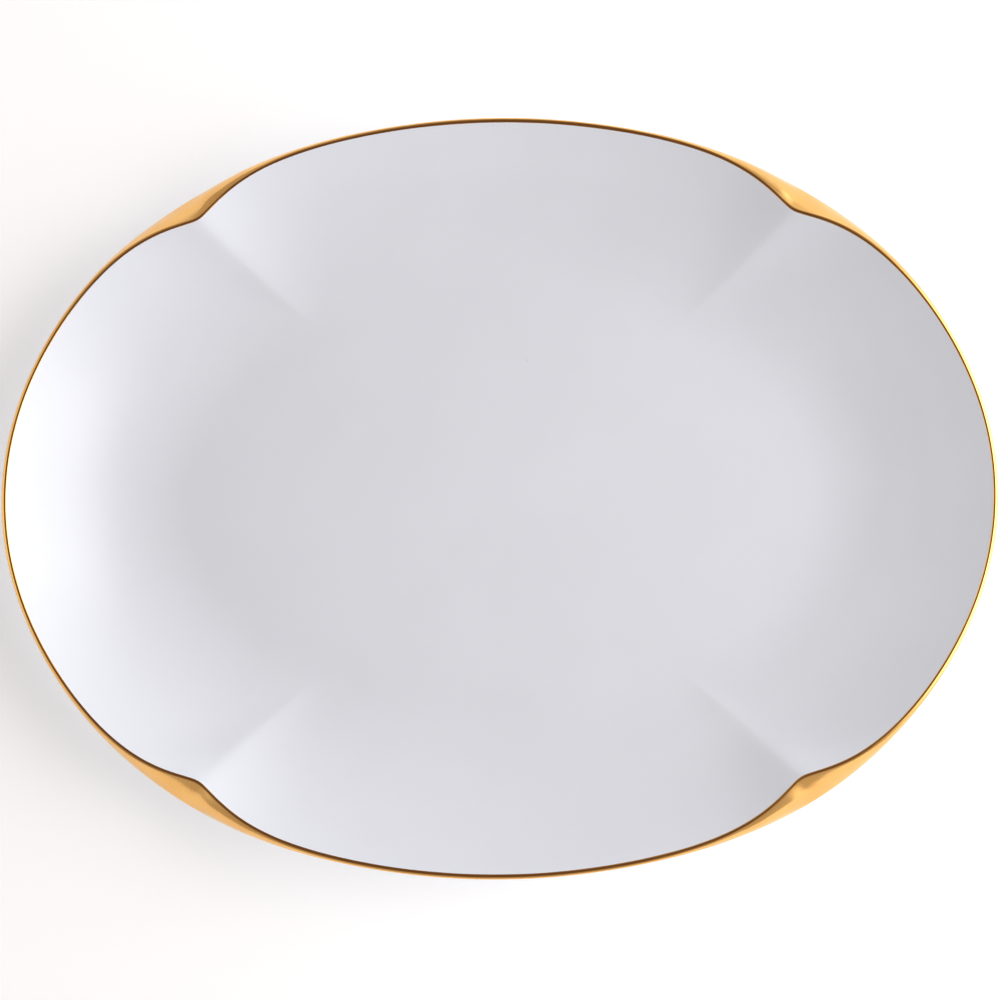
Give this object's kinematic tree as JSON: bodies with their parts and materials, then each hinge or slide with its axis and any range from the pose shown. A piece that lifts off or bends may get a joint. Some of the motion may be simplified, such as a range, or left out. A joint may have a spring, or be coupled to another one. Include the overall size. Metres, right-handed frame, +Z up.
{
  "type": "oval china serving platter",
  "caption": "Oval coupe serving platter in white bone china, rim pinched into folds, with a gold rim line, gilded facets behind the folds and an oval foot ring.",
  "frame": {"origin": "centre of the oval at the height of the foot's ground edge, which is the surface that the platter stands on", "axes": "+X along the oval's long axis, +Y along its short axis towards the back, +Z up out of the open face"},
  "size_m": [0.38, 0.291, 0.031],
  "materials": {
    "fired_china": "unglazed bone china, ground smooth on the foot's edge",
    "glaze": "clear gloss glaze over cool white china",
    "gold": "bright burnished gold film, fired on"
  },
  "bodies": {
    "root": {"china_body": "fired_china", "glaze_face": "glaze", "glaze_back": "glaze", "glaze_foot_well": "glaze", "gold_line_right": "gold", "gold_line_back": "gold", "gold_line_left": "gold", "gold_line_front": "gold", "gold_wing_right_back": "gold", "gold_wing_left_back": "gold", "gold_wing_left_front": "gold", "gold_wing_right_front": "gold"}
  },
  "joints": []
}
